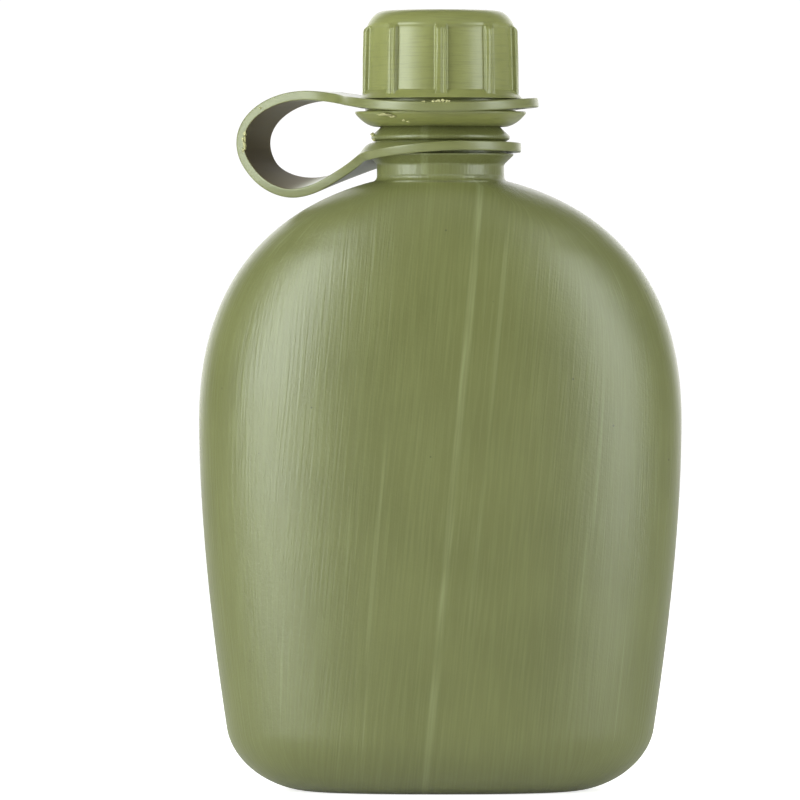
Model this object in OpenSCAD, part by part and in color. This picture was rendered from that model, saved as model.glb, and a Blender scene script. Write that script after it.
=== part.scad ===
// Canteen: a blown bottle with a hollow back, a screw cap with a sealing disc,
// and a moulded strap whose two rings keep the cap on the bottle.
// The bottle stands on z = 0 with the neck axis on Z and its rounded front towards -Y.

/* [Bottle body] */
// Widest width of the body
body_w = 134; // [112:0.2:164]
// Width at the foot, before its rounded edge
foot_w = 113; // [94:0.5:134]
// Thickness at the widest level
body_t = 66; // [52:0.5:82]
// Thickness at the foot, before its rounded edge
foot_t = 60; // [46:0.5:74]
// Height from the foot to the root of the neck
body_h = 170; // [140:0.5:206]
// Height of the widest level
wide_z = 103; // [84:0.5:124]
// Radius that the body is bent to, which hollows its back
bend_r = 200; // [84:1:400]
// Squareness of the cross-section, 2 for an ellipse
squareness = 2.8; // [2.2:0.1:3.4]
// Height of the rounded foot edge
foot_edge_h = 17; // [12:0.5:25]
// How far the rounded foot edge reaches in from the sides
foot_edge_w = 21; // [10:0.5:30]
// How far the rounded foot edge reaches in from the front and the back
foot_edge_t = 14; // [8:0.5:18]
// Wall of the blown body
body_wall = 2; // [1.2:0.1:3]

/* [Neck] */
// Diameter of the mouth
mouth_d = 27.2; // [20:0.2:33]
// Wall of the neck at the root of its thread
neck_wall = 2.6; // [2:0.1:4]
// Height of the plain neck between the body and its collar
plain_h = 3.3; // [2:0.1:6]
// Height of the collar under the strap's ring
collar_h = 2.9; // [2:0.1:5]
// Height of the bead that keeps the ring down
bead_h = 3.6; // [2.5:0.1:6]

/* [Thread] */
// Rise in one turn
thread_lead = 6; // [5:0.1:8]
// Radial height of each thread
thread_h = 1.2; // [0.8:0.1:1.6]
// Turns of the thread on the neck
neck_turns = 1.8; // [1.2:0.1:2.2]
// Turns of the thread in the cap
cap_turns = 1.5; // [1:0.1:1.8]

/* [Cap] */
// Whole height of the cap
cap_h = 32; // [28:0.5:42]
// Wall of the cap at the foot of its barrel
cap_wall = 2.8; // [2.6:0.1:5]
// Thickness of the cap's crown
crown_t = 2.6; // [1.8:0.1:4]
// Radius of the cap's top edge
cap_edge_r = 6; // [3:0.5:8]
// Inward slope of the barrel over its height
cap_draft = 0.5; // [0:0.1:1]
// How far the lip under the strap's ring stands out of the barrel
lip_out = 2.8; // [1.5:0.1:4]
// Height of the lip
lip_h = 4.1; // [3:0.1:6]
// Number of grip ribs
rib_n = 9; // [6:1:12]
// Width of each grip rib
rib_w = 3.1; // [2.5:0.1:5]
// How far the ribs stand out of the barrel
rib_out = 0.9; // [0.5:0.1:1.5]

/* [Sealing disc] */
// Thickness of the sealing disc
disc_t = 2; // [1:0.1:3]

/* [Strap] */
// Thickness of the strap
strap_t = 2.6; // [1.6:0.1:3]
// Width of the strap's band
strap_w = 14; // [9:0.5:18]
// Radial width of the ring on the cap
cap_ring_w = 5.8; // [3.5:0.1:8]
// Radial width of the ring on the neck
neck_ring_w = 3.8; // [3:0.1:6]
// Direction of the band, from +X towards +Y
strap_turn = 148; // [0:1:360]
// Reach of the band's loop from the neck axis
loop_reach = 63; // [48:0.5:74]
// How far the loop hangs below the ring on the neck
loop_drop = 10.8; // [7:0.1:13]
// How far the loop rises above the ring on the cap
loop_rise = 3; // [1:0.1:6]

/* [Clearances] */
// Radial clearance between the two threads and the walls behind them
thread_gap = 0.6; // [0.4:0.1:1]
// Clearance between the flanks of the two threads
flank_gap = 0.2; // [0.1:0.05:0.4]
// Gap between the bead and the cap above it
cap_gap = 0.4; // [0.2:0.1:1.5]
// Height that each ring has free in its groove
ring_play = 0.9; // [0.6:0.1:2]
// Radial clearance of the ring on the neck
neck_ring_gap = 0.3; // [0.2:0.05:0.8]
// Radial clearance of the ring on the cap
cap_ring_gap = 0.5; // [0.3:0.05:1]
// Gap between the band and the ring on the cap
band_gap = 0.15; // [0.1:0.05:0.4]
// Radial clearance of the sealing disc
disc_gap = 0.2; // [0.1:0.05:0.5]

/* [Hidden] */
$fn = 96;

bottle_green = "#676b3b";
cap_green = "#777944";
strap_green = "#757646";
disc_black = "#2b2b29";

// Neck, from the body upwards
mouth_r = mouth_d / 2;
thread_root_r = mouth_r + neck_wall;
thread_crest_r = thread_root_r + thread_h;
plain_r = thread_root_r + 1.4;
seat_r = plain_r + 0.6;
bead_r = seat_r + 1;
collar_r = seat_r + 2;
collar_z = body_h + plain_h + collar_h;
bead_z = collar_z + strap_t + ring_play;
bead_top_z = bead_z + bead_h;

// Cap, from its lower edge upwards
cap_z = bead_top_z + cap_gap;
cap_top_z = cap_z + cap_h;
ceiling_z = cap_top_z - crown_t;
rim_z = ceiling_z - disc_t;
cap_bore_r = thread_crest_r + thread_gap;
barrel_r = cap_bore_r + cap_wall;
lip_r = barrel_r + lip_out;
flare_r = barrel_r + 0.7 * lip_out;
lip_top_z = cap_z + lip_h;
flare_z = lip_top_z + strap_t + ring_play;
flare_h = 3.2;
barrel_z = flare_z + flare_h;
rib_top_z = cap_top_z - 0.8 * cap_edge_r;

// Sealing disc, and the small bead in the cap that keeps it up
disc_r = cap_bore_r - disc_gap;
keeper_r = cap_bore_r - 0.6;
keeper_h = 1.2;

// Threads
flank_wide = 1.4;
flank_narrow = 0.7;
thread_sink = 0.4;
thread_step = 12;
runout = 36;
thread_top_z = rim_z - 3;
thread_foot_z = thread_top_z - neck_turns * thread_lead;
engaged_w = flank_wide + flank_narrow
          - (flank_wide - flank_narrow) * thread_gap / thread_h;
cap_thread_below = engaged_w + flank_gap;
cap_thread_early = 0.7;

// Strap rings
neck_ring_in = seat_r + neck_ring_gap;
neck_ring_r = neck_ring_in + neck_ring_w;
neck_ring_z = collar_z + 0.45 * ring_play;
neck_ring_mid = neck_ring_z + strap_t / 2;
cap_ring_in = barrel_r + cap_ring_gap;
cap_ring_r = cap_ring_in + cap_ring_w;
cap_ring_z = lip_top_z + 0.45 * ring_play;
cap_ring_mid = cap_ring_z + strap_t / 2;

// Strap band: curves in the plane of the loop, as [reach, height]
band_root = neck_ring_r - 1.7;
root_slope = 40;
root_pull = 10;
low_z = neck_ring_mid - loop_drop;
high_z = cap_ring_mid + loop_rise;
low_x = neck_ring_r + 0.55 * (loop_reach - neck_ring_r);
high_x = cap_ring_r + 0.37 * (loop_reach - cap_ring_r);
far_z = (low_z + high_z) / 2;
bulge = 0.55;
band_steps = 10;
root_steps = 3;

// Body sections
section_n = 48;
corner_steps = 6;
side_steps = 8;
shoulder_steps = 14;
shoulder_slope = 15;
root_fillet = 1.5;

function mix(a, b, f) = a + (b - a) * f;
function bezier2(a, b, c, f) = mix(mix(a, b, f), mix(b, c, f), f);
function bezier3(a, b, c, d, f) = mix(bezier2(a, b, c, f), bezier2(b, c, d, f), f);
function unit(v) = v / norm(v);
function power(v, p) = sign(v) * pow(abs(v), p);

// Front outline of the body's right half, [half width, height], from the foot's
// rounded edge up to the root of the neck
half_w = body_w / 2;
half_t = body_t / 2;
half_foot_w = foot_w / 2;
half_foot_t = foot_t / 2;
shoulder_end = [plain_r + root_fillet, body_h - root_fillet];
shoulder_pull = 0.56 * (body_h - wide_z);
shoulder_reach = 0.59 * (half_w - plain_r);
shoulder_ctrl = shoulder_end
              + shoulder_reach * [cos(shoulder_slope), -sin(shoulder_slope)];
side_ctrl = [half_w, 0.6 * wide_z];

function side_at(f) = bezier2([half_foot_w, 0], side_ctrl, [half_w, wide_z], f);
function shoulder_at(f) = bezier3([half_w, wide_z], [half_w, wide_z + shoulder_pull],
                                  shoulder_ctrl, shoulder_end, f);

// A station is [half width, half thickness, height, squareness, bend]: the last
// two fade out towards the round neck
function thick_side(w) =
    mix(half_foot_t, half_t, (w - half_foot_w) / (half_w - half_foot_w));
function to_neck(w) = (w - plain_r) / (half_w - plain_r);
function shoulder_station(p) =
    let (f = to_neck(p[0]))
    [p[0], mix(plain_r, half_t, f), p[1], mix(2, squareness, min(1, 1.4 * f)),
     min(1, 1.6 * f)];

// The foot's round edge is a quarter ellipse laid on the side's own slope
side_low = [for (i = [0 : 40]) side_at(i / 80)];
function side_w_at(z, i = 0) =
    side_low[i + 1][1] >= z
        ? mix(side_low[i][0], side_low[i + 1][0],
              (z - side_low[i][1]) / (side_low[i + 1][1] - side_low[i][1]))
        : side_w_at(z, i + 1);
function corner_station(i) =
    let (a = 90 * i / corner_steps,
         z = foot_edge_h * (1 - cos(a)),
         inset = 1 - sin(a),
         w = side_w_at(z))
    [w - foot_edge_w * inset, thick_side(w) - foot_edge_t * inset, z, squareness, 1];

side_from = 0.14;
outer_stations = [
    for (i = [0 : corner_steps]) corner_station(i),
    for (i = [0 : side_steps])
        let (p = side_at(mix(side_from, 1, i / side_steps)))
        if (p[1] > foot_edge_h + 2) [p[0], thick_side(p[0]), p[1], squareness, 1],
    for (i = [1 : shoulder_steps]) shoulder_station(shoulder_at(i / shoulder_steps)),
    for (a = [30, 60, 90])
        [plain_r + root_fillet * (1 - sin(a)), plain_r + root_fillet * (1 - sin(a)),
         body_h - root_fillet * cos(a), 2, 0]
];

// The inner surface lies one wall inside the outer one, and opens into the mouth
outer_n = len(outer_stations);
function outline_normal(i) =
    let (a = outer_stations[max(0, i - 1)],
         b = outer_stations[min(outer_n - 1, i + 1)],
         d = unit([b[0] - a[0], b[2] - a[2]]))
    [d[1], -d[0]];
function inner_station(i) =
    let (s = outer_stations[i], n = outline_normal(i))
    [s[0] - body_wall * n[0], s[1] - body_wall * (1 + n[0]) / 2,
     s[2] - body_wall * n[1], s[3], s[4]];
floor_z = 1.2 * body_wall;
inner_stations = concat(
    [for (i = [1 : outer_n - 5])
        let (s = inner_station(i))
        if (s[2] > floor_z + 1 || i == 1)
            [s[0], s[1], max(s[2], floor_z), s[3], s[4]]],
    [[mouth_r, mouth_r, body_h - 2 * root_fillet, 2, 0],
     [mouth_r, mouth_r, body_h, 2, 0]]
);
inner_n = len(inner_stations);

// One section: a squared ellipse whose ends are bent back towards +Y
function section(s) = [
    for (k = [0 : section_n - 1])
        let (a = 360 * k / section_n,
             x = s[0] * power(cos(a), 2 / s[3]),
             y = s[1] * power(sin(a), 2 / s[3]))
        [x, y + s[4] * x * x / (2 * bend_r), s[2]]
];

// Triangles between two rings of points whose first indices are a and b
function band_faces(a, b) = [
    for (k = [0 : section_n - 1])
        let (j = (k + 1) % section_n)
        each [[a + k, b + k, b + j], [a + k, b + j, a + j]]
];
// Strips across a ring, between the points that face each other
function floor_faces(a) = [
    for (k = [0 : section_n / 2 - 1])
        let (m = (section_n - k) % section_n, n = section_n - k - 1)
        each concat(k > 0 ? [[a + k, a + m, a + n]] : [],
                    k < section_n / 2 - 1 ? [[a + k, a + n, a + k + 1]] : [])
];
function flip(faces) = [for (f = faces) [f[2], f[1], f[0]]];

module bottle_body() {
    stations = concat(outer_stations, inner_stations);
    inner_first = outer_n * section_n;
    points = [for (s = stations) each section(s)];
    outer_skin = [
        for (i = [0 : outer_n - 2])
            each band_faces(i * section_n, (i + 1) * section_n)
    ];
    inner_skin = [
        for (i = [0 : inner_n - 2])
            each band_faces(inner_first + i * section_n,
                            inner_first + (i + 1) * section_n)
    ];
    top_ring = band_faces(inner_first - section_n,
                          inner_first + (inner_n - 1) * section_n);
    color(bottle_green)
    polyhedron(points, concat(outer_skin, top_ring, flip(inner_skin),
                              flip(floor_faces(0)), floor_faces(inner_first)),
               convexity = 6);
}

// A screw thread: a tapered ridge swept up a helix, running out at both ends.
// way is 1 for a ridge that stands outwards and -1 for one that stands inwards.
module thread(root_r, way, foot_z, start, turns) {
    count = ceil(turns * 360 / thread_step);
    points = [
        for (i = [0 : count])
            let (turned = i * turns * 360 / count,
                 a = start + turned,
                 z = foot_z + thread_lead * turned / 360,
                 rise = min(1, turned / runout, (turns * 360 - turned) / runout),
                 crest = root_r + way * thread_h * max(0.05, rise),
                 back = root_r - way * thread_sink)
            each [for (p = [[back, -flank_wide], [crest, -flank_narrow],
                            [crest, flank_narrow], [back, flank_wide]])
                [p[0] * cos(a), p[0] * sin(a), z + p[1]]]
    ];
    sides = [
        for (i = [0 : count - 1])
            for (k = [0 : 3])
                let (a = 4 * i + k, b = 4 * i + (k + 1) % 4)
                each [[a, a + 4, b + 4], [a, b + 4, b]]
    ];
    last = 4 * count;
    ends = [[0, 1, 2], [0, 2, 3],
            [last + 2, last + 1, last], [last + 3, last + 2, last]];
    faces = concat(sides, ends);
    polyhedron(points, way > 0 ? flip(faces) : faces, convexity = 6);
}

module neck_profile() {
    rim_round = 0.5;
    polygon([
        [mouth_r, body_h],
        [plain_r, body_h],
        [plain_r, body_h + plain_h],
        [collar_r, collar_z - 0.3],
        [collar_r, collar_z],
        [seat_r, collar_z],
        [seat_r, bead_z],
        [bead_r - 0.2, bead_z + 0.25 * bead_h],
        [bead_r, bead_z + 0.38 * bead_h],
        [bead_r - 0.3, bead_z + 0.5 * bead_h],
        [thread_root_r + 0.5, bead_top_z],
        [thread_root_r, bead_top_z + 1],
        [thread_root_r, rim_z - rim_round],
        [thread_root_r - rim_round, rim_z],
        [mouth_r + rim_round, rim_z],
        [mouth_r, rim_z - rim_round]
    ]);
}

module bottle_neck() {
    color(bottle_green)
    union() {
        rotate_extrude() neck_profile();
        thread(thread_root_r, 1, thread_foot_z, 0, neck_turns);
    }
}

module cap_profile() {
    edge_steps = 8;
    top_r = barrel_r - cap_draft;
    polygon(concat(
        [[0, ceiling_z], [0, cap_top_z]],
        [for (i = [0 : edge_steps])
            let (a = 90 * i / edge_steps)
            [top_r - cap_edge_r * (1 - sin(a)), cap_top_z - cap_edge_r * (1 - cos(a))]],
        [[barrel_r, barrel_z],
         [flare_r, flare_z],
         [barrel_r, flare_z],
         [barrel_r, lip_top_z]],
        [for (i = [0 : 4])
            bezier2([lip_r, lip_top_z - 0.3], [mix(cap_bore_r, lip_r, 0.55), cap_z + 0.5],
                    [cap_bore_r + 0.3, cap_z], i / 4)],
        [[cap_bore_r, cap_z + 0.3],
         [cap_bore_r, rim_z - keeper_h],
         [keeper_r, rim_z - 0.6 * keeper_h],
         [keeper_r, rim_z - 0.4 * keeper_h],
         [cap_bore_r, rim_z],
         [cap_bore_r, ceiling_z]]
    ));
}

// One grip rib: two rounded ridges side by side, on a flat strip that stands just past
// the line where they touch
module rib_section() {
    ridge_r = 0.24 * rib_w;
    strip = barrel_r + rib_out - 0.9 * ridge_r;
    translate([barrel_r - 2, -rib_w / 2]) square([strip - barrel_r + 2, rib_w]);
    for (side = [-1, 1])
        translate([barrel_r + rib_out - ridge_r, side * ridge_r]) circle(ridge_r, $fn = 24);
}

// The ribs end in this ring, which slopes in at both ends
module rib_envelope() {
    far = barrel_r + rib_out + 1;
    rotate_extrude()
    polygon([
        [barrel_r - 1.5, barrel_z - 0.9],
        [barrel_r + rib_out - 0.4, barrel_z - 0.9],
        [far, barrel_z],
        [far, rib_top_z - rib_out - 1.6],
        [barrel_r - cap_draft, rib_top_z],
        [barrel_r - 1.5, rib_top_z]
    ]);
}

module cap() {
    color(cap_green)
    union() {
        rotate_extrude() cap_profile();
        intersection() {
            rib_envelope();
            for (i = [0 : rib_n - 1])
                rotate([0, 0, 270 + i * 360 / rib_n])
                translate([0, 0, flare_z])
                linear_extrude(cap_top_z - flare_z) rib_section();
        }
        thread(cap_bore_r, -1,
               thread_foot_z - cap_thread_below - cap_thread_early * thread_lead,
               -cap_thread_early * 360, cap_turns);
    }
}

module sealing_disc() {
    color(disc_black)
    translate([0, 0, rim_z]) cylinder(r = disc_r, h = disc_t);
}

// Centre line of the band, from the ring on the neck round the loop to the cap
low = [low_x, low_z];
far = [loop_reach - strap_t / 2, far_z];
high = [high_x, high_z];
root = [band_root, neck_ring_mid];
tip = [cap_ring_in + 0.5 * cap_ring_w, cap_ring_mid];
function band_curve(piece, f) =
    piece == 0 ? bezier3(root, root + root_pull * [cos(root_slope), -sin(root_slope)],
                         low - [0.4 * (low[0] - root[0]), 0], low, f)
    : piece == 1 ? bezier3(low, low + [bulge * (far[0] - low[0]), 0],
                           far - [0, bulge * (far[1] - low[1])], far, f)
    : piece == 2 ? bezier3(far, far + [0, bulge * (high[1] - far[1])],
                           high + [bulge * (far[0] - high[0]), 0], high, f)
    : bezier3(high, high - [0.4 * (high[0] - tip[0]), 0],
              tip + [0.35 * (high[0] - tip[0]), 0.3 * loop_rise], tip, f);
band_line = [
    for (piece = [0 : 3])
        for (i = [0 : band_steps - (piece < 3 ? 1 : 0)])
            band_curve(piece, i / band_steps)
];
last_point = len(band_line) - 1;
function band_side(i, way) =
    let (d = unit(band_line[min(i + 1, last_point)] - band_line[max(i - 1, 0)]))
    band_line[i] + way * strap_t / 2 * [-d[1], d[0]];

// The stretch of band between two points of its centre line
module band_stretch(from, to) {
    rotate([0, 0, strap_turn])
    rotate([90, 0, 0])
    linear_extrude(strap_w, center = true)
    polygon(concat([for (i = [from : to]) band_side(i, 1)],
                   [for (i = [to : -1 : from]) band_side(i, -1)]));
}

module ring(inner, outer, z) {
    translate([0, 0, z])
    difference() {
        cylinder(r = outer, h = strap_t);
        translate([0, 0, -1]) cylinder(r = inner, h = strap_t + 2);
    }
}

module strap_neck_ring() {
    color(strap_green)
    union() {
        ring(neck_ring_in, neck_ring_r, neck_ring_z);
        band_stretch(0, root_steps);
    }
}

module strap_band() {
    color(strap_green)
    difference() {
        band_stretch(root_steps, last_point);
        translate([0, 0, cap_z]) cylinder(r = cap_ring_r + band_gap, h = cap_h);
    }
}

module strap_cap_ring() {
    color(strap_green)
    ring(cap_ring_in, cap_ring_r, cap_ring_z);
}

bottle_body();
bottle_neck();
cap();
sealing_disc();
strap_neck_ring();
strap_band();
strap_cap_ring();
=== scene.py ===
"""Looks of a one-quart plastic canteen: a blown bottle, a ribbed screw cap with its
sealing disc, and the one-piece strap that keeps the cap on the neck.

Lengths are in millimetres until a mesh is made. The bottle stands on z = 0 with its
neck axis on Z, and its rounded front faces -Y."""

import math
import random

import bmesh
import bpy
from mathutils import Euler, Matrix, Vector, noise


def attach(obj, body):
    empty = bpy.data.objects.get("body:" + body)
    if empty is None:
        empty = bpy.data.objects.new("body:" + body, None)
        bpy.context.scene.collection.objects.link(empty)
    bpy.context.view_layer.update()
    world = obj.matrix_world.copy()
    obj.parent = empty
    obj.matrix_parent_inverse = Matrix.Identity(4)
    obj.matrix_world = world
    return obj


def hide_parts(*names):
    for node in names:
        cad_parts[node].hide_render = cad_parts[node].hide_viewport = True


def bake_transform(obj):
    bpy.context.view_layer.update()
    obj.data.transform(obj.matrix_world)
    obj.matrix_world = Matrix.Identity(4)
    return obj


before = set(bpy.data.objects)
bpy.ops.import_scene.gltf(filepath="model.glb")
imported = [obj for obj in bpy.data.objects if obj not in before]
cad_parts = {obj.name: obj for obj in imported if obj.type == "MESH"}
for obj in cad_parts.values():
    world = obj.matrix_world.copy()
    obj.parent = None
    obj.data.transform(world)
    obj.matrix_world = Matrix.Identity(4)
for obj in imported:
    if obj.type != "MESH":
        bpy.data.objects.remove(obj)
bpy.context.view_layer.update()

MM = 0.001

# Bottle body
BODY_W = 134.0
FOOT_W = 113.0
BODY_T = 66.0
FOOT_T = 60.0
BODY_H = 170.0
WIDE_Z = 103.0
BEND_R = 200.0
SQUARENESS = 2.8
# How far the round foot edge reaches in from the sides and the front, and its height
FOOT_EDGE = (21.0, 14.0, 17.0)
BODY_WALL = 2.0
# The parison turned a little as it was blown, so its lines lean to the right
DIE_LINE_LEAN = 0.0926
SHOULDER_SLOPE = math.radians(15)
ROOT_FILLET = 1.5

# Neck
MOUTH_R = 13.6
THREAD_ROOT_R = 16.2
PLAIN_R = 17.6
SEAT_R = 18.2
BEAD_R = 19.2
COLLAR_R = 20.2
COLLAR_Z = 176.2
BEAD_Z = 179.7
BEAD_TOP_Z = 183.3
RIM_Z = 211.1

# Thread
LEAD = 6.0
THREAD_H = 1.2
NECK_TURNS = 1.8
CAP_TURNS = 1.5
THREAD_FOOT_Z = RIM_Z - 3 - NECK_TURNS * LEAD
# The cap's thread lies this far below the neck's, and starts this many turns before it
CAP_THREAD_BELOW = 1.95
CAP_THREAD_EARLY = 0.7
CAP_THREAD_Z = THREAD_FOOT_Z - CAP_THREAD_BELOW - CAP_THREAD_EARLY * LEAD
# Half widths of each thread at its root and crest, and the degrees it takes to run out
FLANK_ROOT = 1.22
FLANK_CREST = 0.7
RUNOUT = 36.0

# Cap
CAP_Z = 183.7
CAP_TOP_Z = 215.7
CEILING_Z = 213.1
CAP_BORE_R = 18.0
BARREL_R = 20.8
CAP_DRAFT = 0.5
CROWN_Z = 211.5
CROWN_FLAT_R = 15.2
LIP_R = 23.6
LIP_TOP_Z = 187.8
FLARE_R = 22.8
FLARE_Z = 191.3
BARREL_Z = 193.4
RIB_N = 9
RIB_HALF_W = 1.55
RIB_OUT = 0.9
RIB_GROOVE = 0.3
RIB_GROOVE_PLACE = 0.35
RIB_FOOT_Z = 192.4
RIB_TOP_Z = 211.2
PANEL_DEPTH = 0.35

# Sealing disc
DISC_R = 17.8
DISC_T = 2.0

# Strap
STRAP_T = 2.6
STRAP_HALF_W = 7.0
STRAP_TURN = math.radians(148)
# Each ring's inner and outer radius, and the height of its middle
NECK_RING = (18.5, 22.3, 177.9)
CAP_RING = (21.3, 27.1, 189.5)
# Fillet between the band and each ring
WEB_R = 20.0


def mix(a, b, f):
    return a + (b - a) * f


def smooth(f):
    f = min(1.0, max(0.0, f))
    return f * f * (3 - 2 * f)


def power(v, p):
    return math.copysign(abs(v) ** p, v)


def bezier(points, f):
    """A point of a Bezier curve, by blending its control points down to one."""
    points = [Vector(p) for p in points]
    while len(points) > 1:
        points = [a.lerp(b, f) for a, b in zip(points, points[1:])]
    return points[0]


def rounded(corners, step):
    """A polyline through corners of (r, z, fillet), its long sides cut to step."""
    line = []
    for i, (r, z, fillet) in enumerate(corners):
        here = Vector((r, z))
        if fillet == 0 or i in (0, len(corners) - 1):
            line.append(here)
            continue
        before = Vector(corners[i - 1][:2]) - here
        after = Vector(corners[i + 1][:2]) - here
        start = here + before.normalized() * min(fillet, before.length * 0.5)
        end = here + after.normalized() * min(fillet, after.length * 0.5)
        line += [bezier([start, here, end], f / 5) for f in range(6)]
    cut = [line[0]]
    for a, b in zip(line, line[1:]):
        count = max(1, math.ceil((b - a).length / step))
        if (b - a).length > 1e-6:
            cut += [a.lerp(b, (k + 1) / count) for k in range(count)]
    return cut


def new_piece(name, bm, materials):
    """A smooth-shaded mesh object from a bmesh in metres, with its materials."""
    mesh = bpy.data.meshes.new(name)
    bmesh.ops.recalc_face_normals(bm, faces=bm.faces)
    bm.to_mesh(mesh)
    bm.free()
    for material in materials:
        mesh.materials.append(material)
    for face in mesh.polygons:
        face.use_smooth = True
    piece = bpy.data.objects.new(name, mesh)
    bpy.context.scene.collection.objects.link(piece)
    return piece


def add_lumps(piece, places, seed):
    """Adds torn bits of flash to a piece, as rough lumps at (centre, half sizes). They
    take the piece's second material."""
    draw = random.Random(seed)
    bm = bmesh.new()
    bm.from_mesh(piece.data)
    for centre, size in places:
        shift = Vector((draw.uniform(0, 50), draw.uniform(0, 50), draw.uniform(0, 50)))
        lump = bmesh.ops.create_icosphere(bm, subdivisions=3, radius=1.0)["verts"]
        for vert in lump:
            rough = 1 + 0.8 * noise.noise(1.6 * vert.co + shift)
            swollen = Vector([rough * a * b for a, b in zip(size, vert.co)])
            vert.co = MM * (Vector(centre) + swollen)
        for face in {face for vert in lump for face in vert.link_faces}:
            face.material_index = 1
            face.smooth = True
    bm.to_mesh(piece.data)
    bm.free()


def tube_skin(rows, flows, centre_first=None, centre_last=None):
    """A bmesh of quads round each row of points and from row to row. flows holds the
    grain's own place of every point, and a centre point closes an end."""
    bm = bmesh.new()
    flow_layer = bm.verts.layers.float_vector.new("flow")
    rings = []
    for row, flow in zip(rows, flows):
        ring = []
        for point, place in zip(row, flow):
            vert = bm.verts.new(Vector(point) * MM)
            vert[flow_layer] = Vector(place) * MM
            ring.append(vert)
        rings.append(ring)
    count = len(rings[0])
    for low, high in zip(rings, rings[1:]):
        for k in range(count):
            j = (k + 1) % count
            bm.faces.new((low[k], low[j], high[j], high[k]))
    for ring, centre in ((rings[0], centre_first), (rings[-1], centre_last)):
        if centre is not None:
            middle = bm.verts.new(Vector(centre) * MM)
            middle[flow_layer] = Vector(centre) * MM
            for k in range(count):
                bm.faces.new((ring[k], ring[(k + 1) % count], middle))
    return bm


# ---------------------------------------------------------------- materials


def linear(hex_colour):
    """An sRGB hex colour as linear red, green, blue and alpha."""
    parts = [int(hex_colour[i:i + 2], 16) / 255 for i in (1, 3, 5)]
    return (*[c / 12.92 if c <= 0.04045 else ((c + 0.055) / 1.055) ** 2.4
              for c in parts], 1.0)


def add(tree, kind, settings, inputs):
    """Adds one node with its own settings, and its inputs as values, nodes or sockets."""
    node = tree.nodes.new(kind)
    for key, value in settings.items():
        setattr(node, key, value)
    for key, value in inputs.items():
        socket = node.inputs[key] if isinstance(key, int) else next(
            s for s in node.inputs if s.name == key and s.enabled)
        if isinstance(value, bpy.types.Node):
            value = next(s for s in value.outputs if s.enabled)
        if isinstance(value, bpy.types.NodeSocket):
            tree.links.new(value, socket)
        else:
            socket.default_value = value
    return node


def new_material(name, roughness, ior=1.54):
    """A node material, its tree, its shader and where a point lies on the object."""
    material = bpy.data.materials.new(name)
    material.use_nodes = True
    tree = material.node_tree
    shader = tree.nodes["Principled BSDF"]
    shader.inputs["Roughness"].default_value = roughness
    shader.inputs["IOR"].default_value = ior
    place = add(tree, "ShaderNodeTexCoord", {}, {}).outputs["Object"]
    return material, tree, shader, place


def per_mm(size):
    """The scale that gives a pattern of this size in millimetres."""
    return 1 / (size * MM)


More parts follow.
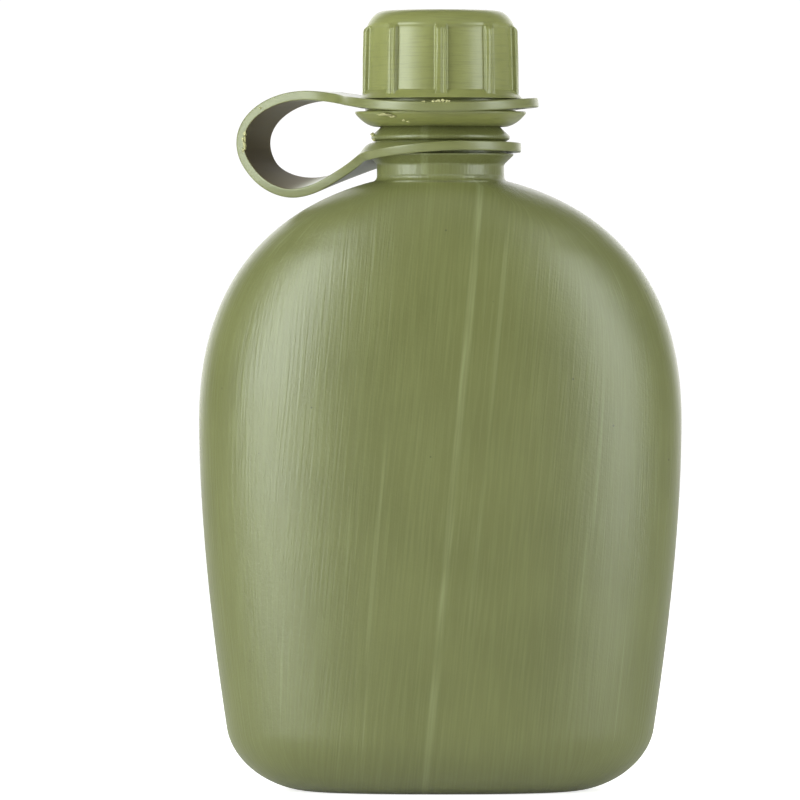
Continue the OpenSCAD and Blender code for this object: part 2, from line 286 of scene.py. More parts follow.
def blown_polyethylene():
    """HDPE, blown in a polished mould: a waxy half-gloss skin with fine lines that the
    die drew down the parison, a slight orange peel and resin that isn't quite even."""
    material, tree, shader, place = new_material("blown_polyethylene", 0.4)
    flow = add(tree, "ShaderNodeAttribute", {"attribute_name": "flow"}, {})
    flow = flow.outputs["Vector"]

    # Die lines 0.6 mm apart in lengths of 20 mm, coarser than the real ones so they show
    drawn_out = add(tree, "ShaderNodeVectorMath", {"operation": "MULTIPLY"},
                    {0: flow, 1: (1, 1, 0.03)})
    lines = add(tree, "ShaderNodeTexNoise", {},
                {"Vector": drawn_out, "Scale": per_mm(0.62), "Detail": 1.5,
                 "Roughness": 0.6})
    # They show in patches some 30 mm wide
    patches = add(tree, "ShaderNodeTexNoise", {},
                  {"Vector": place, "Scale": per_mm(34), "Detail": 2.0})
    patch_mask = add(tree, "ShaderNodeMapRange", {"interpolation_type": "SMOOTHSTEP"},
                     {"Value": patches, "From Min": 0.36, "From Max": 0.58,
                      "To Min": 0.35, "To Max": 1.0})
    drawn = add(tree, "ShaderNodeMath", {"operation": "MULTIPLY"},
                {0: lines, 1: patch_mask})

    # A few pale scratches of the die, 0.5 mm wide, and a broad one down the front
    long_lines = add(tree, "ShaderNodeVectorMath", {"operation": "MULTIPLY"},
                     {0: flow, 1: (1, 1, 0.02)})
    scratches = add(tree, "ShaderNodeTexNoise", {},
                    {"Vector": long_lines, "Scale": per_mm(2.4), "Detail": 1.0})
    scratch_mask = add(tree, "ShaderNodeMapRange", {"interpolation_type": "SMOOTHSTEP"},
                       {"Value": scratches, "From Min": 0.68, "From Max": 0.76,
                        "To Min": 0.0, "To Max": 0.18})
    at = add(tree, "ShaderNodeSeparateXYZ", {}, {"Vector": flow})
    off = add(tree, "ShaderNodeMath", {"operation": "ADD"},
              {0: at.outputs["X"], 1: 4.5 * MM})
    off = add(tree, "ShaderNodeMath", {"operation": "ABSOLUTE"}, {0: off})
    broad = add(tree, "ShaderNodeMapRange", {"interpolation_type": "SMOOTHSTEP"},
                {"Value": off, "From Min": 0.5 * MM, "From Max": 1.5 * MM,
                 "To Min": 0.6, "To Max": 0.0})
    front = add(tree, "ShaderNodeMath", {"operation": "LESS_THAN"},
                {0: at.outputs["Y"], 1: 0.0})
    broad = add(tree, "ShaderNodeMath", {"operation": "MULTIPLY"}, {0: broad, 1: front})
    broad = add(tree, "ShaderNodeMath", {"operation": "MULTIPLY"}, {0: broad, 1: drawn})
    streaks = add(tree, "ShaderNodeMath", {"operation": "MAXIMUM"},
                  {0: broad, 1: scratch_mask})

    clouds = add(tree, "ShaderNodeTexNoise", {},
                 {"Vector": place, "Scale": per_mm(26), "Detail": 4.0})
    cloud_mask = add(tree, "ShaderNodeMapRange", {},
                     {"Value": clouds, "From Min": 0.35, "From Max": 0.65})
    green = add(tree, "ShaderNodeMix", {"data_type": "RGBA"},
                {"Factor": cloud_mask, "A": linear("#595b31"), "B": linear("#5e6035")})
    line_mask = add(tree, "ShaderNodeMapRange", {},
                    {"Value": lines, "From Min": 0.42, "From Max": 0.68,
                     "To Min": 0.0, "To Max": 0.28})
    lined = add(tree, "ShaderNodeMix", {"data_type": "RGBA"},
                {"Factor": line_mask, "A": green, "B": linear("#6f7347")})
    streaked = add(tree, "ShaderNodeMix", {"data_type": "RGBA"},
                   {"Factor": streaks, "A": lined, "B": linear("#858a62")})
    # Specks of unmixed pigment, 0.6 mm across
    pigment = add(tree, "ShaderNodeTexVoronoi", {},
                  {"Vector": place, "Scale": per_mm(12)})
    speck_mask = add(tree, "ShaderNodeMapRange", {},
                     {"Value": pigment, "From Min": 0.02, "From Max": 0.035,
                      "To Min": 0.75, "To Max": 0.0})
    specked = add(tree, "ShaderNodeMix", {"data_type": "RGBA"},
                  {"Factor": speck_mask, "A": streaked.outputs[2], "B": linear("#2e3018")})
    tree.links.new(specked.outputs[2], shader.inputs["Base Color"])

    # The mould's halves met on this line, 0.8 mm wide, down the sides and over the base
    split = add(tree, "ShaderNodeMath", {"operation": "ABSOLUTE"}, {0: at.outputs["Y"]})
    seam = add(tree, "ShaderNodeMapRange", {"interpolation_type": "SMOOTHSTEP"},
               {"Value": split, "From Min": 0.1 * MM, "From Max": 0.5 * MM,
                "To Min": 1.0, "To Max": 0.0})

    # Orange peel of 0.9 mm
    peel = add(tree, "ShaderNodeTexNoise", {},
               {"Vector": place, "Scale": per_mm(0.9), "Detail": 2.0})
    peel_bump = add(tree, "ShaderNodeBump", {},
                    {"Strength": 0.9, "Distance": 0.04 * MM, "Height": peel})
    line_bump = add(tree, "ShaderNodeBump", {},
                    {"Strength": 1.0, "Distance": 0.09 * MM, "Height": drawn,
                     "Normal": peel_bump})
    seam_bump = add(tree, "ShaderNodeBump", {},
                    {"Strength": 1.0, "Distance": 0.25 * MM, "Height": seam,
                     "Normal": line_bump})
    tree.links.new(seam_bump.outputs[0], shader.inputs["Normal"])
    rough = add(tree, "ShaderNodeMapRange", {},
                {"Value": clouds, "To Min": 0.35, "To Max": 0.44})
    tree.links.new(rough.outputs[0], shader.inputs["Roughness"])
    return material


def moulded_polyethylene(name, base, pale, line_size, line_depth):
    """Injection-moulded polyethylene: a soft half-gloss over the fine level lines left
    by the cutter that made the mould. Returns the material and its colour's node."""
    material, tree, shader, place = new_material(name, 0.38)
    flattened = add(tree, "ShaderNodeVectorMath", {"operation": "MULTIPLY"},
                    {0: place, 1: (0.06, 0.06, 1)})
    lines = add(tree, "ShaderNodeTexNoise", {},
                {"Vector": flattened, "Scale": per_mm(line_size), "Detail": 2.0,
                 "Roughness": 0.6})
    clouds = add(tree, "ShaderNodeTexNoise", {},
                 {"Vector": place, "Scale": per_mm(9), "Detail": 4.0})
    cloud_mask = add(tree, "ShaderNodeMapRange", {},
                     {"Value": clouds, "From Min": 0.35, "From Max": 0.65})
    green = add(tree, "ShaderNodeMix", {"data_type": "RGBA"},
                {"Factor": cloud_mask, "A": linear(base), "B": linear(pale)})
    line_mask = add(tree, "ShaderNodeMapRange", {},
                    {"Value": lines, "From Min": 0.50, "From Max": 0.66,
                     "To Min": 0.0, "To Max": 0.22})
    lined = add(tree, "ShaderNodeMix", {"data_type": "RGBA"},
                {"Factor": line_mask, "A": green, "B": linear("#4d4c2a")})
    tree.links.new(lined.outputs[2], shader.inputs["Base Color"])
    grain = add(tree, "ShaderNodeTexNoise", {},
                {"Vector": place, "Scale": per_mm(0.8), "Detail": 2.0})
    grain_bump = add(tree, "ShaderNodeBump", {},
                     {"Strength": 0.4, "Distance": 0.04 * MM, "Height": grain})
    line_bump = add(tree, "ShaderNodeBump", {},
                    {"Strength": 1.0, "Distance": line_depth * MM, "Height": lines,
                     "Normal": grain_bump})
    tree.links.new(line_bump.outputs[0], shader.inputs["Normal"])
    return material, lined


def cap_polyethylene():
    """The cap's mould was turned on a lathe, so its panels have level lines."""
    return moulded_polyethylene("moulded_polyethylene_cap", "#70723e", "#767843", 0.5, 0.07)[0]


def strap_polyethylene():
    """The strap's softer polyethylene is paler; inside its loop its colour is painted brown as
    shade and reflection, and it is rougher there.
    """
    material, colour = moulded_polyethylene(
        "moulded_polyethylene_strap", "#63653a", "#6a6c41", 0.8, 0.03)
    tree = material.node_tree
    inside = add(tree, "ShaderNodeAttribute", {"attribute_name": "inside"}, {})
    # Painted shade and painted reflection: the loop's inner face is turned brown in its colour
    painted_shade_share = add(tree, "ShaderNodeMath", {"operation": "MULTIPLY"},
                {0: inside.outputs["Fac"], 1: 0.9})
    shaded_colour = add(tree, "ShaderNodeMix", {"data_type": "RGBA"},
                  {"Factor": painted_shade_share, "A": colour.outputs[2], "B": linear("#5c4f35")})
    # The same inner faces are made rougher
    inside_roughness = add(tree, "ShaderNodeMapRange", {},
                 {"Value": inside.outputs["Fac"], "To Min": 0.38, "To Max": 0.6})
    shader = tree.nodes["Principled BSDF"]
    tree.links.new(shaded_colour.outputs[2], shader.inputs["Base Color"])
    tree.links.new(inside_roughness.outputs[0], shader.inputs["Roughness"])
    return material


def torn_polyethylene():
    """Torn flash: stretched white-green where the plastic tore off the mould."""
    material, tree, shader, place = new_material("torn_polyethylene", 0.5)
    fibres = add(tree, "ShaderNodeTexNoise", {},
                 {"Vector": place, "Scale": per_mm(0.5), "Detail": 3.0})
    pale = add(tree, "ShaderNodeMix", {"data_type": "RGBA"},
               {"Factor": fibres, "A": linear("#8a8654"), "B": linear("#c2bd8e")})
    tree.links.new(pale.outputs[2], shader.inputs["Base Color"])
    bump = add(tree, "ShaderNodeBump", {},
               {"Strength": 0.8, "Distance": 0.1 * MM, "Height": fibres})
    tree.links.new(bump.outputs[0], shader.inputs["Normal"])
    return material


def pressed_rubber():
    """Black rubber, punched from pressed sheet: matt, with a fine bloom."""
    material, tree, shader, place = new_material("pressed_rubber", 0.7, 1.52)
    bloom = add(tree, "ShaderNodeTexNoise", {},
                {"Vector": place, "Scale": per_mm(3), "Detail": 4.0})
    black = add(tree, "ShaderNodeMix", {"data_type": "RGBA"},
                {"Factor": bloom, "A": linear("#1d1d1c"), "B": linear("#333331")})
    tree.links.new(black.outputs[2], shader.inputs["Base Color"])
    grain = add(tree, "ShaderNodeTexNoise", {},
                {"Vector": place, "Scale": per_mm(0.4), "Detail": 2.0})
    bump = add(tree, "ShaderNodeBump", {},
               {"Strength": 0.3, "Distance": 0.05 * MM, "Height": grain})
    tree.links.new(bump.outputs[0], shader.inputs["Normal"])
    return material


BOTTLE_SKIN = blown_polyethylene()
CAP_SKIN = cap_polyethylene()
STRAP_SKIN = strap_polyethylene()
TORN_SKIN = torn_polyethylene()
RUBBER = pressed_rubber()


# ------------------------------------------------------------------- bottle

HALF_W, HALF_T = BODY_W / 2, BODY_T / 2
HALF_FOOT_W, HALF_FOOT_T = FOOT_W / 2, FOOT_T / 2
SIDE = [(HALF_FOOT_W, 0), (HALF_W, 0.6 * WIDE_Z), (HALF_W, WIDE_Z)]
SHOULDER_END = Vector((PLAIN_R + ROOT_FILLET, BODY_H - ROOT_FILLET))
SHOULDER_REACH = 0.59 * (HALF_W - PLAIN_R)
SHOULDER = [(HALF_W, WIDE_Z), (HALF_W, WIDE_Z + 0.56 * (BODY_H - WIDE_Z)),
            SHOULDER_END + SHOULDER_REACH * Vector((math.cos(SHOULDER_SLOPE),
                                                    -math.sin(SHOULDER_SLOPE))),
            SHOULDER_END]
COLUMNS = 216


def squared_arc(n):
    """Angles that lie evenly along a squared ellipse of the body's proportions."""
    fine = 4000
    points = [(HALF_W * power(math.cos(a), 2 / n), HALF_T * power(math.sin(a), 2 / n))
              for a in (2 * math.pi * k / fine for k in range(fine + 1))]
    length = [0.0]
    for a, b in zip(points, points[1:]):
        length.append(length[-1] + math.dist(a, b))
    angles, k = [], 0
    for i in range(COLUMNS):
        target = length[-1] * i / COLUMNS
        while length[k + 1] < target:
            k += 1
        f = (target - length[k]) / (length[k + 1] - length[k])
        angles.append(2 * math.pi * (k + f) / fine)
    return angles


BODY_ANGLES = squared_arc(SQUARENESS)


def grain_place(x, depth, z):
    """Where the parison's lines put a point: they run straight up the front and back,
    leaning a little, and over the sides. depth is -1 at the front and 1 at the back."""
    flat = smooth((abs(depth) - 0.55) / 0.35)
    side = math.copysign(HALF_W, x)
    return (mix(side, x - DIE_LINE_LEAN * z, flat),
            HALF_T * math.copysign(min(1.0, abs(depth) / 0.85), depth), z)


def body_section(w, t, z, n, bend):
    """One level of the body and its grain: a squared ellipse bent back towards +Y. Its
    columns turn from even spacing along the body to even spacing round the neck."""
    row, flow = [], []
    round_share = (SQUARENESS - n) / (SQUARENESS - 2)
    for k, angle in enumerate(BODY_ANGLES):
        even = 2 * math.pi * k / COLUMNS
        a = mix(angle, even, round_share)
        x = w * power(math.cos(a), 2 / n)
        y = t * power(math.sin(a), 2 / n)
        row.append((x, y + bend * x * x / (2 * BEND_R), z))
        flow.append(grain_place(x, y / t, z))
    return row, flow


def side_w(z):
    """Half width of the side's own slope at a height."""
    f = 0.0
    for _ in range(30):
        slope = bezier(SIDE, f + 1e-4)[1] - bezier(SIDE, f)[1]
        f -= (bezier(SIDE, f)[1] - z) / (slope * 1e4)
    return bezier(SIDE, f)[0]


def thickness(w):
    return mix(HALF_FOOT_T, HALF_T, (w - HALF_FOOT_W) / (HALF_W - HALF_FOOT_W))


def body_rows():
    """Levels of the body, as (half width, half thickness, z, squareness, bend)."""
    rows = []
    for i in range(21):
        a = math.pi / 2 * i / 20
        z = FOOT_EDGE[2] * (1 - math.cos(a))
        w = side_w(z)
        inset = 1 - math.sin(a)
        rows.append((w - FOOT_EDGE[0] * inset, thickness(w) - FOOT_EDGE[1] * inset,
                     z, SQUARENESS, 1))
    steps = 34
    start = next(f / 200 for f in range(200)
                 if bezier(SIDE, f / 200)[1] > FOOT_EDGE[2] + 2)
    for i in range(steps):
        w, z = bezier(SIDE, mix(start, 1, i / steps))
        rows.append((w, thickness(w), z, SQUARENESS, 1))
    steps = 44
    for i in range(steps + 1):
        w, z = bezier(SHOULDER, i / steps)
        f = (w - PLAIN_R) / (HALF_W - PLAIN_R)
        rows.append((w, mix(PLAIN_R, HALF_T, f), z,
                     mix(2, SQUARENESS, min(1, 1.4 * f)), min(1, 1.6 * f)))
    for a in (math.radians(d) for d in (18, 36, 54, 72, 90)):
        r = PLAIN_R + ROOT_FILLET * (1 - math.sin(a))
        rows.append((r, r, BODY_H - ROOT_FILLET * math.cos(a), 2, 0))
    return rows


def thread_rise(angle, z, foot_z, start, turns):
    """How far the thread stands up at an angle in degrees and a height."""
    rise = 0.0
    for turn in range(-1, 4):
        turned = angle + 360 * turn - start
        if 0 <= turned <= 360 * turns:
            off = abs(z - foot_z - LEAD * turned / 360)
            flank = smooth((FLANK_ROOT - off) / (FLANK_ROOT - FLANK_CREST))
            ends = min(1, turned / RUNOUT, (360 * turns - turned) / RUNOUT)
            rise = max(rise, THREAD_H * flank * smooth(ends))
    return rise


def bottle_bmesh():
    levels = body_rows()
    foot_w, foot_t = levels[0][:2]

    # Base, pushed up 0.8 mm in its middle
    sections = []
    for share in (0.04, 0.2, 0.4, 0.6, 0.75, 0.86, 0.93, 0.97):
        lift = 0.8 * (1 - smooth((share - 0.7) / 0.3))
        sections.append(body_section(foot_w * share, foot_t * share, lift, SQUARENESS, share))
    sections += [body_section(*level) for level in levels]

    # Neck, from its root up to the rim and down the mouth
    neck = rounded([
        (PLAIN_R, BODY_H, 0), (PLAIN_R, 173.3, 0.5), (COLLAR_R, 175.8, 0.25),
        (COLLAR_R, COLLAR_Z, 0.2), (SEAT_R, COLLAR_Z, 0.2), (SEAT_R, BEAD_Z, 0.2),
        (BEAD_R - 0.1, BEAD_Z + 0.5, 0.4), (BEAD_R, BEAD_Z + 1.4, 0.5),
        (THREAD_ROOT_R + 0.5, BEAD_TOP_Z, 0.8), (THREAD_ROOT_R, BEAD_TOP_Z + 1, 0.4),
        (THREAD_ROOT_R, RIM_Z, 0.7), (MOUTH_R, RIM_Z, 0.7), (MOUTH_R, BODY_H - 3, 0),
    ], 0.4)
    for r, z in neck[1:]:
        row = []
        outside = r > 0.5 * (THREAD_ROOT_R + MOUTH_R)
        for k in range(COLUMNS):
            angle = 360 * k / COLUMNS
            rise = 0.0
            if outside and z > BEAD_TOP_Z:
                rise = thread_rise(angle, z, THREAD_FOOT_Z, 0, NECK_TURNS)
            a = math.radians(angle)
            row.append(((r + rise) * math.cos(a), (r + rise) * math.sin(a), z))
        sections.append((row, row))

    # Inner wall
    for w, t, z, n, bend in reversed(levels[3:-7:3]):
        sections.append(body_section(w - BODY_WALL, t - BODY_WALL, max(z - 0.6, 2.4), n, bend))
    rows, flows = zip(*sections)
    return tube_skin(rows, flows, (0, 0, 0.8), (0, 0, 2.4))


bottle = new_piece("bottle", bottle_bmesh(), [BOTTLE_SKIN, TORN_SKIN])
bead_flash = [((-18.7, -3.6, 181.4), (0.6, 0.6, 0.5)),
              ((-18.3, -4.8, 180.0), (0.5, 0.5, 0.4)),
              ((-19.9, -2.4, 175.9), (0.4, 0.5, 0.3))]
add_lumps(bottle, bead_flash, 1)
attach(bottle, "bottle")
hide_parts("bottle_body", "bottle_neck")


# ---------------------------------------------------------------------- cap


def cap_columns():
    """Angles in degrees round the cap, close together at the ribs."""
    near = [0, 0.2, 0.4, 0.6, 0.8, 1.0, 1.2, 1.35, 1.45, 1.52, 1.6, 1.8, 2.1]
    panel = [3.0, 4.2, 5.4, 6.4]
    angles = []
    for rib in range(RIB_N):
        middle = 270 + 360 * rib / RIB_N
        for offset in [-u for u in reversed(near + panel)] + near[1:] + panel:
            angles.append(middle + math.degrees(offset / BARREL_R))
    return angles


CAP_ANGLES = cap_columns()


def rib_radius(angle, r, z):
    """The barrel's radius with its ribs: each has a round back with a shallow groove,
    and stands between two shallow panels."""
    pitch = 360 / RIB_N
    u = ((angle - 270 + pitch / 2) % pitch - pitch / 2) * math.radians(1) * BARREL_R
    panel = smooth((abs(u) - RIB_HALF_W) / 0.25) * smooth((z - BARREL_Z) / 0.25)
    radius = r - PANEL_DEPTH * panel * smooth((CROWN_Z - z) / 0.5)
    if abs(u) < RIB_HALF_W and RIB_FOOT_Z < z < RIB_TOP_Z:
        low_end = min(1.0, max(0.0, (z - RIB_FOOT_Z) / 0.9))
        high_end = min(1.0, max(0.0, (RIB_TOP_Z - z) / 1.5))
        envelope = math.sqrt(1 - (1 - low_end) ** 2) * math.sqrt(1 - (1 - high_end) ** 2)
        back = math.sqrt(1 - (u / RIB_HALF_W) ** 4)
        groove = RIB_GROOVE * math.exp(-((u - RIB_GROOVE_PLACE) / 0.3) ** 2)
        radius = max(radius, BARREL_R - CAP_DRAFT) + (RIB_OUT + 0.3) * back * envelope
        radius = min(radius, BARREL_R + RIB_OUT) - groove * envelope
    return radius


def cap_bmesh():
    top_r = BARREL_R - CAP_DRAFT
    profile = rounded([(1.0, CAP_TOP_Z, 0), (CROWN_FLAT_R - 0.4, CAP_TOP_Z, 0)], 2.5)
    edge = [(CROWN_FLAT_R, CAP_TOP_Z), (top_r - 1.9, CAP_TOP_Z), (top_r, CROWN_Z)]
    profile += [bezier(edge, k / 14) for k in range(15)]
    profile += rounded([
        (top_r, CROWN_Z, 0), (BARREL_R, BARREL_Z, 0.3),
        (FLARE_R, FLARE_Z, 0.35), (BARREL_R, FLARE_Z, 0.3),
        (BARREL_R, LIP_TOP_Z, 0.3), (LIP_R, LIP_TOP_Z, 0.25)], 0.45)[1:]
    bowl = [(LIP_R, LIP_TOP_Z - 0.5), (mix(CAP_BORE_R, LIP_R, 0.55), CAP_Z + 0.5),
            (CAP_BORE_R + 0.3, CAP_Z)]
    profile += [bezier(bowl, f / 14) for f in range(15)]
    profile += rounded([
        (CAP_BORE_R, CAP_Z, 0), (CAP_BORE_R, RIM_Z - 1.2, 0.1),
        (CAP_BORE_R - 0.6, RIM_Z - 0.7, 0.1), (CAP_BORE_R - 0.6, RIM_Z - 0.5, 0.1),
        (CAP_BORE_R, RIM_Z, 0.1), (CAP_BORE_R, CEILING_Z, 0.3), (1.0, CEILING_Z, 0)], 0.5)
    rows, flows = [], []
    inner_start = next(i for i, p in enumerate(profile) if abs(p[0] - CAP_BORE_R) < 1e-6)
    for i, (r, z) in enumerate(profile):
        row, flow = [], []
        for angle in CAP_ANGLES:
            radius = r
            if i < inner_start and z > FLARE_Z and r > 0.8 * BARREL_R:
                radius = rib_radius(angle, r, z)
            elif i >= inner_start and z < RIM_Z - 1.3:
                radius -= thread_rise(angle % 360, z, CAP_THREAD_Z,
                                      -CAP_THREAD_EARLY * 360, CAP_TURNS)
            a = math.radians(angle)
            row.append((radius * math.cos(a), radius * math.sin(a), z))
            flow.append((r * math.cos(a), r * math.sin(a), z))
        rows.append(row)
        flows.append(flow)
    return tube_skin(rows, flows, (0, 0, CAP_TOP_Z), (0, 0, CEILING_Z))


cap = new_piece("screw_cap", cap_bmesh(), [CAP_SKIN, TORN_SKIN])
lip_flash = [((-14.6, -18.1, 186.7), (2.6, 1.3, 0.35)),
             ((-13.2, -19.0, 186.2), (0.9, 0.4, 0.3)),
             ((-10.2, -20.7, 185.1), (0.35, 0.3, 0.25)),
             ((-9.0, -21.1, 184.7), (0.4, 0.3, 0.2))]
add_lumps(cap, lip_flash, 2)
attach(cap, "cap")
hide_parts("cap")


# -------------------------------------------------------------- sealing disc


def disc_bmesh():
    profile = rounded([
        (1.0, RIM_Z, 0), (12.8, RIM_Z, 0.3), (13.2, RIM_Z + 0.12, 0.3),
        (16.4, RIM_Z + 0.12, 0.3), (16.8, RIM_Z, 0.3), (DISC_R, RIM_Z, 0.25),
        (DISC_R, RIM_Z + DISC_T, 0.25), (1.0, RIM_Z + DISC_T, 0)], 1.5)
    angles = [2 * math.pi * k / 96 for k in range(96)]
    rows = [[(r * math.cos(a), r * math.sin(a), z) for a in angles] for r, z in profile]
    return tube_skin(rows, rows, (0, 0, RIM_Z), (0, 0, RIM_Z + DISC_T))


disc = new_piece("sealing_disc_liner", disc_bmesh(), [RUBBER])
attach(disc, "disc")
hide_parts("sealing_disc")


# -------------------------------------------------------------------- strap

BAND_COLUMNS = 17
# How far the lower half of the band is twisted, as a slope
TWIST = 0.26
# The loop's lowest, farthest and highest points, as (reach, z)
LOOP_LOW = Vector((44.7, 167.1))
LOOP_FAR = Vector((61.7, 179.8))
LOOP_HIGH = Vector((40.4, 192.7))
LOOP_BULGE = 0.55


def on_strap(reach, side, z):
    """A point from its reach along the band, its place across it and its height."""
    along = Vector((math.cos(STRAP_TURN), math.sin(STRAP_TURN), 0))
    across = Vector((-math.sin(STRAP_TURN), math.cos(STRAP_TURN), 0))
    return (reach * along + side * across + Vector((0, 0, z))) * MM


def neck_ring_z(r, angle):
    """Height of the ring on the neck, pulled down on the side where the twisted band
    leaves it. The angle is in degrees from the band."""
    inner, outer, middle = NECK_RING
    lift = 0.35 * math.cos(math.radians(angle - 122))
    drop = 3.3 * smooth((125 - abs(angle - 18)) / 125)
    return middle + lift - drop * smooth((r - 19.0) / (outer - 19.0)) ** 1.2


def cap_ring_z(r, angle):
    """Height of the ring on the cap: it droops in front and cups up at its sides."""
    inner, outer, middle = CAP_RING
    azimuth = math.radians(angle) + STRAP_TURN
    front = max(0.0, -math.sin(azimuth))
    rise = 0.95 * math.cos(azimuth) ** 2 - 0.8 * front ** 2
    rise += 0.95 * smooth((95 - abs(angle)) / 95)
    share = (r - inner) / (outer - inner)
    return middle - 0.05 + rise * mix(0.32, 1.0, share)


def web(ring):
    """Where the fillets between band and ring begin across the ring, and the reach at
    which they end on the band."""
    outer = ring[1]
    side = outer * (STRAP_HALF_W + WEB_R) / (outer + WEB_R)
    return side, math.sqrt((outer + WEB_R) ** 2 - (STRAP_HALF_W + WEB_R) ** 2)


def ring_sheet(bm, ring, height):
    """The middle sheet of a ring. Returns its edge where the band leaves it."""
    inner, outer, _ = ring
    half = web(ring)[0]
    sector = [math.degrees(math.asin(half * mix(-1, 1, k / (BAND_COLUMNS - 1)) / outer))
              for k in range(BAND_COLUMNS)]
    rest = 60
    angles = sector + [mix(sector[-1], 360 + sector[0], k / rest) for k in range(1, rest)]
    wrapped = [(a + 180) % 360 - 180 for a in angles]
    steps = 6
    rows = []
    for i in range(steps + 1):
        r = mix(inner, outer, i / steps)
        rows.append([bm.verts.new(on_strap(r * math.cos(math.radians(a)),
                                           r * math.sin(math.radians(a)), height(r, a)))
                     for a in wrapped])
    for low, high in zip(rows, rows[1:]):
        for k in range(len(angles)):
            j = (k + 1) % len(angles)
            bm.faces.new((low[k], low[j], high[j], high[k]))
    return rows[-1][:BAND_COLUMNS]


def band_line():
    """Centre line of the band, from ring to ring round its loop, as (reach, z)."""
    start = Vector((NECK_RING[1], neck_ring_z(NECK_RING[1], 0)))
    end = Vector((CAP_RING[1], cap_ring_z(CAP_RING[1], 0)))
    reach_up = Vector((LOOP_FAR.x - LOOP_LOW.x, 0))
    reach_down = Vector((LOOP_FAR.x - LOOP_HIGH.x, 0))
    rise_to_far = Vector((0, LOOP_FAR.y - LOOP_LOW.y))
    rise_to_high = Vector((0, LOOP_HIGH.y - LOOP_FAR.y))
    parts = [
        [start, start + Vector((6.5, -2.7)), LOOP_LOW + Vector((-8.5, 0.4)), LOOP_LOW],
        [LOOP_LOW, LOOP_LOW + LOOP_BULGE * reach_up,
         LOOP_FAR - LOOP_BULGE * rise_to_far, LOOP_FAR],
        [LOOP_FAR, LOOP_FAR + LOOP_BULGE * rise_to_high,
         LOOP_HIGH + LOOP_BULGE * reach_down, LOOP_HIGH],
        [LOOP_HIGH, LOOP_HIGH + Vector((-4.5, 0)), end + Vector((4.0, 0.7)), end],
    ]
    steps = 18
    line = [bezier(part, i / steps) for part in parts for i in range(steps)]
    return line + [end]


def strap_bmesh():
    """The strap's middle sheet: two rings, and the band that joins them."""
    bm = bmesh.new()
    first = ring_sheet(bm, NECK_RING, neck_ring_z)
    last = ring_sheet(bm, CAP_RING, cap_ring_z)
    line = band_line()
    travelled = [0.0]
    for a, b in zip(line, line[1:]):
        travelled.append(travelled[-1] + (b - a).length)
    rows = [first]
    for i in range(1, len(line) - 1):
        ring, height = NECK_RING, neck_ring_z
        if travelled[i] > 0.5 * travelled[-1]:
            ring, height = CAP_RING, cap_ring_z
        outer = ring[1]
        web_side, web_end = web(ring)
        fade = smooth((web_end - line[i].x) / (web_end - outer))
        half = STRAP_HALF_W
        for _ in range(8):
            sag = fade * (outer - math.sqrt(outer ** 2 - half ** 2))
            off = max(0.0, web_end - line[i].x + sag)
            half = STRAP_HALF_W + WEB_R - math.sqrt(WEB_R ** 2 - min(off, 0.95 * WEB_R) ** 2)
            half = min(half, web_side)
        share = min(1.0, travelled[i] / travelled[-1] / 0.45)
        slope = TWIST * math.sin(math.pi * share)
        row = []
        for k in range(BAND_COLUMNS):
            side = half * mix(-1, 1, k / (BAND_COLUMNS - 1))
            sag = fade * (outer - math.sqrt(outer ** 2 - side ** 2))
            angle = math.degrees(math.asin(side / outer))
            lift = fade * (height(outer, angle) - height(outer, 0)) - slope * side
            row.append(bm.verts.new(on_strap(line[i].x - sag, side, line[i].y + lift)))
        rows.append(row)
    rows.append(last)
    for low, high in zip(rows, rows[1:]):
        for k in range(BAND_COLUMNS - 1):
            bm.faces.new((low[k], low[k + 1], high[k + 1], high[k]))
    return bm


def thicken(piece, thickness, edge):
    """Gives a sheet its thickness and rounded edges, and makes them its own mesh."""
    solid = piece.modifiers.new("thickness", "SOLIDIFY")
    solid.thickness = thickness * MM
    solid.offset = 0.0
    solid.use_even_offset = True
    bevel = piece.modifiers.new("edge", "BEVEL")
    bevel.width = edge * MM
    bevel.segments = 3
    bevel.limit_method = "ANGLE"
    bevel.angle_limit = math.radians(50)
    subsurf = piece.modifiers.new("round", "SUBSURF")
    subsurf.levels = subsurf.render_levels = 1
    bpy.context.view_layer.update()
    evaluated = piece.evaluated_get(bpy.context.evaluated_depsgraph_get())
    mesh = bpy.data.meshes.new_from_object(evaluated)
    piece.modifiers.clear()
    piece.data = mesh
    for face in mesh.polygons:
        face.use_smooth = True


def mark_inside(piece):
    """Marks the points on the inner side of the loop, where the strap's colour is painted brown
    as shade and reflection.
    """
    attribute = piece.data.attributes.new("inside", "FLOAT", "POINT")
    along = Vector((math.cos(STRAP_TURN), math.sin(STRAP_TURN), 0))
    middle = on_strap(46, 0, 180)
    for vert in piece.data.vertices:
        inward = middle - vert.co
        inward -= inward.dot(Vector((-along.y, along.x, 0))) * Vector((-along.y, along.x, 0))
        facing = vert.normal.dot(inward.normalized())
        reach = vert.co.dot(along) / MM
        attribute.data[vert.index].value = smooth(facing * 2 - 0.6) * smooth((reach - 38) / 10)


strap = new_piece("strap", strap_bmesh(), [STRAP_SKIN, TORN_SKIN])
thicken(strap, STRAP_T, 0.35)
mark_inside(strap)
ring_flash = [((-2.1, -26.4, 190.1), (0.5, 0.4, 0.35)),
              ((-0.7, -26.6, 190.2), (0.8, 0.5, 0.4)),
              ((0.6, -26.5, 190.3), (0.5, 0.4, 0.45)),
              ((1.7, -26.5, 190.1), (0.6, 0.5, 0.4)),
              ((-4.8, -26.1, 190.1), (0.4, 0.4, 0.25))]
loop_flash = [(on_strap(reach, 6.7, z) / MM, (0.45, 0.5, size))
              for reach, z, size in ((60.6, 177.4, 0.8), (60.2, 178.9, 1.0),
                                     (60.5, 180.6, 1.2), (60.1, 182.3, 0.7),
                                     (54.8, 189.3, 0.4))]
add_lumps(strap, ring_flash + loop_flash, 3)
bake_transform(strap)
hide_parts("strap_neck_ring", "strap_band", "strap_cap_ring")


# ------------------------------------------------------------------- studio


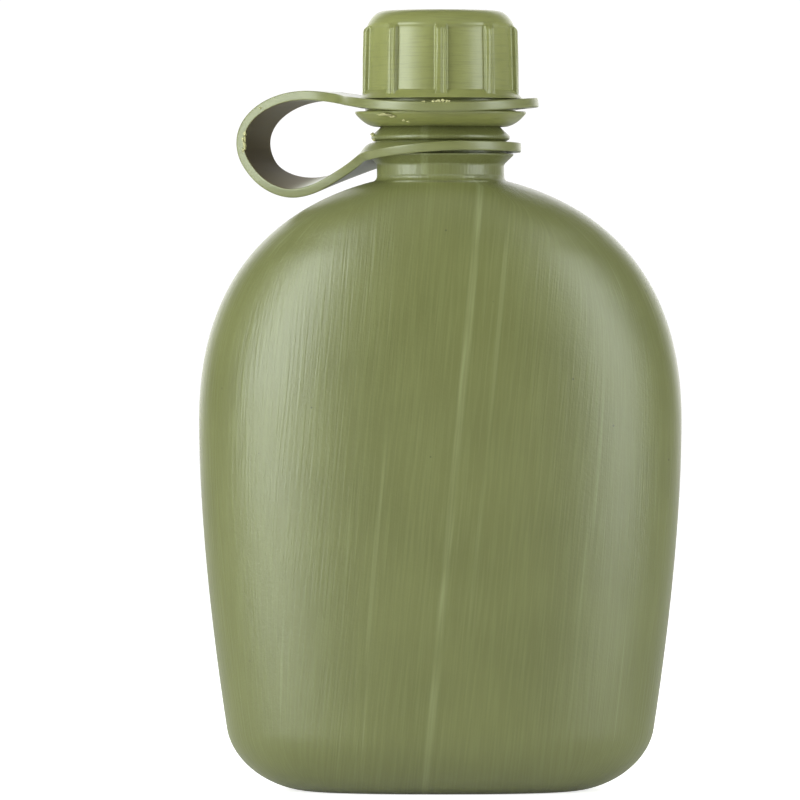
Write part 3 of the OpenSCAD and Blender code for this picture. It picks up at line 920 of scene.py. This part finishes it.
def studio_light(name, place, aim, size, watts, roll=0.0):
    """A soft box with its face towards a point, rolled about its own axis in degrees,
    and out of the camera's sight."""
    data = bpy.data.lights.new(name, "AREA")
    data.shape = "RECTANGLE"
    data.size, data.size_y = size
    data.energy = watts
    data.color = linear("#f6fff9")[:3]
    light = bpy.data.objects.new(name, data)
    light.location = place
    facing = (Vector(aim) - Vector(place)).to_track_quat("-Z", "Y")
    light.rotation_euler = (facing @ Euler((0, 0, math.radians(roll))).to_quaternion()).to_euler()
    light.visible_camera = False
    bpy.context.scene.collection.objects.link(light)


def white_world():
    """A white sweep behind the bottle, blown out as the camera sees it, and a dim room."""
    world = bpy.data.worlds.new("white_studio")
    world.use_nodes = True
    tree = world.node_tree
    tree.nodes.clear()
    direction = add(tree, "ShaderNodeTexCoord", {}, {}).outputs["Generated"]
    at = add(tree, "ShaderNodeSeparateXYZ", {}, {"Vector": direction})
    behind = add(tree, "ShaderNodeMapRange", {"interpolation_type": "SMOOTHSTEP"},
                 {"Value": at.outputs["Y"], "From Min": 0.70, "From Max": 0.92,
                  "To Min": 0.28, "To Max": 2.8})
    room = add(tree, "ShaderNodeBackground", {},
               {"Color": linear("#ffffff"), "Strength": behind})
    sweep = add(tree, "ShaderNodeBackground", {},
                {"Color": linear("#ffffff"), "Strength": 1.05})
    path = add(tree, "ShaderNodeLightPath", {}, {})
    both = add(tree, "ShaderNodeMixShader", {},
               {0: path.outputs["Is Camera Ray"], 1: room, 2: sweep})
    add(tree, "ShaderNodeOutputWorld", {}, {"Surface": both})
    bpy.context.scene.world = world


def white_paper():
    """Matt paper of the sweep. It is lit up for the camera only, so that it doesn't
    throw light back up under the bottle."""
    material, tree, shader, _ = new_material("matt_white_paper", 0.9)
    shader.inputs["Base Color"].default_value = linear("#e0e0de")
    path = add(tree, "ShaderNodeLightPath", {}, {})
    glow = add(tree, "ShaderNodeMapRange", {},
               {"Value": path.outputs["Is Camera Ray"], "To Min": 0.12, "To Max": 0.75})
    shader.inputs["Emission Color"].default_value = linear("#ffffff")
    tree.links.new(glow.outputs[0], shader.inputs["Emission Strength"])
    return material


def studio():
    white_world()
    middle = (0, 0, 0.105)
    studio_light("soft_box_left", (-0.79, -0.45, 0.28), middle, (0.50, 1.1), 17.0, -15)
    studio_light("soft_box_right", (0.83, -0.37, 0.28), middle, (0.44, 1.1), 11.0, 15)
    studio_light("fill_above", (0.0, -0.9, 2.1), middle, (2.0, 1.2), 4.5)

    bm = bmesh.new()
    bmesh.ops.create_grid(bm, x_segments=8, y_segments=8, size=3.0)
    floor = new_piece("floor", bm, [white_paper()])

    data = bpy.data.cameras.new("camera")
    data.lens = 372
    data.sensor_width = 36
    camera = bpy.data.objects.new("camera", data)
    camera.location = (-0.0112, -2.286, 0.143)
    aim = Vector((-0.0112, 0, 0.10815))
    camera.rotation_euler = (aim - camera.location).to_track_quat("-Z", "Y").to_euler()
    bpy.context.scene.collection.objects.link(camera)
    bpy.context.scene.camera = camera
    bpy.context.scene.view_settings.view_transform = "Standard"


studio()
